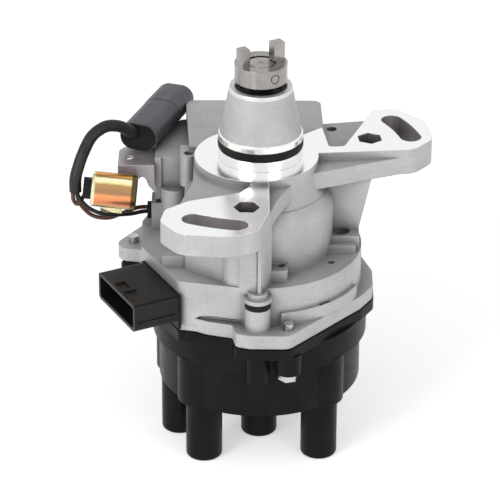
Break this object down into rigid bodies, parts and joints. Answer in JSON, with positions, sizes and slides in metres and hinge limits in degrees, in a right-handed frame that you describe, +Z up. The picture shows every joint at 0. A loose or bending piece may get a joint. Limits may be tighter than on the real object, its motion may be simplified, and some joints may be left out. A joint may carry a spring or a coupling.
{
  "type": "ignition distributor",
  "caption": "Ignition distributor with cast housing, slotted mounting flange, driven shaft, optical pickup, rotor and cap with plug lead towers",
  "frame": {"origin": "shaft axis at the machined face of the mounting flange", "axes": "+Z up the shaft towards the drive coupling, +X towards the right slotted arm, -Y towards the front slotted arm"},
  "size_m": [0.1728, 0.1639, 0.207],
  "materials": {
    "cast_aluminium": "fine cast skin, machined flange faces and spigot",
    "black_rubber": "matte",
    "sheath_rubber": "satin",
    "bronze": "sintered",
    "bearing_steel": "ground and polished",
    "cage_plastic": "moulded",
    "spring_steel": "plain",
    "turned_steel": "turned",
    "plated_steel": "bright zinc",
    "black_plastic": "fine moulded grain",
    "rotor_plastic": "moulded",
    "contact_brass": "stamped",
    "cap_plastic": "satin moulded",
    "carbon": "pressed carbon",
    "dark_sheet": "dark plated sheet",
    "yellow_zinc": "yellow iridescent zinc plating",
    "grey_plastic": "satin moulded",
    "brown_wire": "soft insulation",
    "black_wire": "soft insulation"
  },
  "bodies": {
    "body": {"housing": "cast_aluminium", "spigot_o_ring": "black_rubber", "oil_seal": "black_rubber", "upper_bush": "bronze", "bearing_outer_race": "bearing_steel", "bearing_circlip": "spring_steel", "optical_pickup": "black_plastic", "pickup_screws": "plated_steel", "igniter_module": "black_plastic", "igniter_screws": "plated_steel", "dust_cover": "black_plastic", "dust_cover_screws": "plated_steel", "cap": "cap_plastic", "cap_seal": "black_rubber", "tower_terminals": "contact_brass", "centre_terminal": "contact_brass", "brush_spring": "spring_steel", "cap_screws": "plated_steel", "connector_shell": "black_plastic", "connector_pins": "contact_brass", "connector_seal": "black_rubber", "condenser_bracket": "dark_sheet", "bracket_screw": "plated_steel", "condenser_can": "yellow_zinc", "condenser_clamp": "yellow_zinc", "condenser_plug": "black_rubber", "lead_connector_front": "grey_plastic", "lead_connector_rear": "grey_plastic", "wire_grommet": "black_rubber", "lead_sheath": "sheath_rubber", "condenser_lead": "brown_wire", "brown_wire": "brown_wire", "black_wire": "black_wire", "boss_ring": "black_rubber", "lead_boot": "black_rubber"},
    "rotating_shaft": {"shaft": "turned_steel", "drive_coupling": "turned_steel", "cross_pin": "turned_steel", "bearing_inner_race": "bearing_steel", "slit_disc": "spring_steel", "disc_hub": "turned_steel", "rotor_arm": "rotor_plastic", "rotor_blade": "contact_brass", "rotor_screw": "plated_steel"},
    "ball_cage": {"bearing_balls": "bearing_steel", "bearing_cage": "cage_plastic"},
    "brush": {"carbon_brush": "carbon"}
  },
  "joints": [
    {"name": "shaft_turn", "type": "hinge", "parent": "body", "child": "rotating_shaft", "pos_m": [0, 0, 0], "axis": [0, 0, 1], "continuous": true},
    {"name": "cage_turn", "type": "hinge", "parent": "body", "child": "ball_cage", "pos_m": [0, 0, -0.046], "axis": [0, 0, 1], "continuous": true},
    {"name": "brush_slide", "type": "slide", "parent": "body", "child": "brush", "axis": [0, 0, 1], "range_m": [-0.002, 0.0002], "stiffness_N_per_m": 100, "springref_m": 0.0002, "deforming": ["brush_spring"]}
  ],
  "couplings": [
    {"joint": "cage_turn", "follows": "shaft_turn", "ratio": 0.3818}
  ]
}
